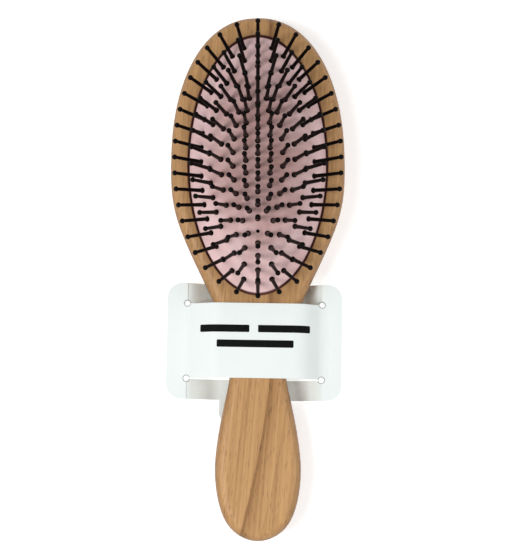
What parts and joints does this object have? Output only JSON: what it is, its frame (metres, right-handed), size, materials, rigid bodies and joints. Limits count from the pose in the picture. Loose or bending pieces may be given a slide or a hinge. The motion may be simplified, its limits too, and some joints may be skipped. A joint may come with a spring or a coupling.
{
  "type": "cushion hairbrush",
  "caption": "Oval wooden hairbrush with a domed rubber air cushion of ball-tipped pins, and a slit card sleeve threaded round its neck.",
  "frame": {"origin": "on the flat back of the head, under the middle of the rubber cushion", "axes": "+Z the way the pins point, up as the brush lies on its back; +Y towards the crown of the head, away from the handle; +X to the right seen from the front with the head up"},
  "size_m": [0.0793, 0.2323, 0.0449],
  "materials": {
    "wooden_body": "oiled, satin",
    "rubber_cushion": "satin moulded rubber",
    "pins": "black nylon, soft gloss",
    "card_sleeve": "smooth coated card",
    "card_print": "matt black ink"
  },
  "bodies": {
    "brush body": {"wooden_body": "wooden_body", "rubber_cushion": "rubber_cushion"},
    "pins ring 1 ends": {"pins_ring_1_ends": "pins"},
    "pins ring 1 sides": {"pins_ring_1_sides": "pins"},
    "pins ring 2 ends": {"pins_ring_2_ends": "pins"},
    "pins ring 2 sides": {"pins_ring_2_sides": "pins"},
    "pins ring 3 ends": {"pins_ring_3_ends": "pins"},
    "pins ring 3 sides": {"pins_ring_3_sides": "pins"},
    "pins ring 4 ends": {"pins_ring_4_ends": "pins"},
    "pins ring 4 sides": {"pins_ring_4_sides": "pins"},
    "pins ring 5 ends": {"pins_ring_5_ends": "pins"},
    "pins ring 5 sides": {"pins_ring_5_sides": "pins"},
    "pins centre row": {"pins_centre_row": "pins"},
    "card sleeve": {"card_sleeve": "card_sleeve", "card_print_upper": "card_print", "card_print_lower": "card_print"}
  },
  "joints": [
    {"name": "cushion_press", "type": "slide", "parent": "brush body", "child": "pins centre row", "axis": [0, 0, -1], "range_m": [0, 0.003], "stiffness_N_per_m": 2500, "deforming": ["rubber_cushion"]},
    {"name": "ring_1_ends_sink", "type": "slide", "parent": "brush body", "child": "pins ring 1 ends", "axis": [0, 0, -1], "range_m": [0, 0.00071]},
    {"name": "ring_1_sides_sink", "type": "slide", "parent": "brush body", "child": "pins ring 1 sides", "axis": [0, 0, -1], "range_m": [0, 0.00134]},
    {"name": "ring_2_ends_sink", "type": "slide", "parent": "brush body", "child": "pins ring 2 ends", "axis": [0, 0, -1], "range_m": [0, 0.00179]},
    {"name": "ring_2_sides_sink", "type": "slide", "parent": "brush body", "child": "pins ring 2 sides", "axis": [0, 0, -1], "range_m": [0, 0.00239]},
    {"name": "ring_3_ends_sink", "type": "slide", "parent": "brush body", "child": "pins ring 3 ends", "axis": [0, 0, -1], "range_m": [0, 0.00261]},
    {"name": "ring_3_sides_sink", "type": "slide", "parent": "brush body", "child": "pins ring 3 sides", "axis": [0, 0, -1], "range_m": [0, 0.00301]},
    {"name": "ring_4_ends_sink", "type": "slide", "parent": "brush body", "child": "pins ring 4 ends", "axis": [0, 0, -1], "range_m": [0, 0.00296]},
    {"name": "ring_4_sides_sink", "type": "slide", "parent": "brush body", "child": "pins ring 4 sides", "axis": [0, 0, -1], "range_m": [0, 0.00317]},
    {"name": "ring_5_ends_sink", "type": "slide", "parent": "brush body", "child": "pins ring 5 ends", "axis": [0, 0, -1], "range_m": [0, 0.00315]},
    {"name": "ring_5_sides_sink", "type": "slide", "parent": "brush body", "child": "pins ring 5 sides", "axis": [0, 0, -1], "range_m": [0, 0.0032]},
    {"name": "card_slide", "type": "slide", "parent": "brush body", "child": "card sleeve", "axis": [0, -1, 0], "range_m": [0, 0.12]}
  ],
  "couplings": [
    {"joint": "ring_1_ends_sink", "follows": "cushion_press", "ratio": 0.171},
    {"joint": "ring_1_sides_sink", "follows": "cushion_press", "ratio": 0.381},
    {"joint": "ring_2_ends_sink", "follows": "cushion_press", "ratio": 0.529},
    {"joint": "ring_2_sides_sink", "follows": "cushion_press", "ratio": 0.73},
    {"joint": "ring_3_ends_sink", "follows": "cushion_press", "ratio": 0.802},
    {"joint": "ring_3_sides_sink", "follows": "cushion_press", "ratio": 0.937},
    {"joint": "ring_4_ends_sink", "follows": "cushion_press", "ratio": 0.92},
    {"joint": "ring_4_sides_sink", "follows": "cushion_press", "ratio": 0.99},
    {"joint": "ring_5_ends_sink", "follows": "cushion_press", "ratio": 0.982},
    {"joint": "ring_5_sides_sink", "follows": "cushion_press", "ratio": 0.999}
  ]
}
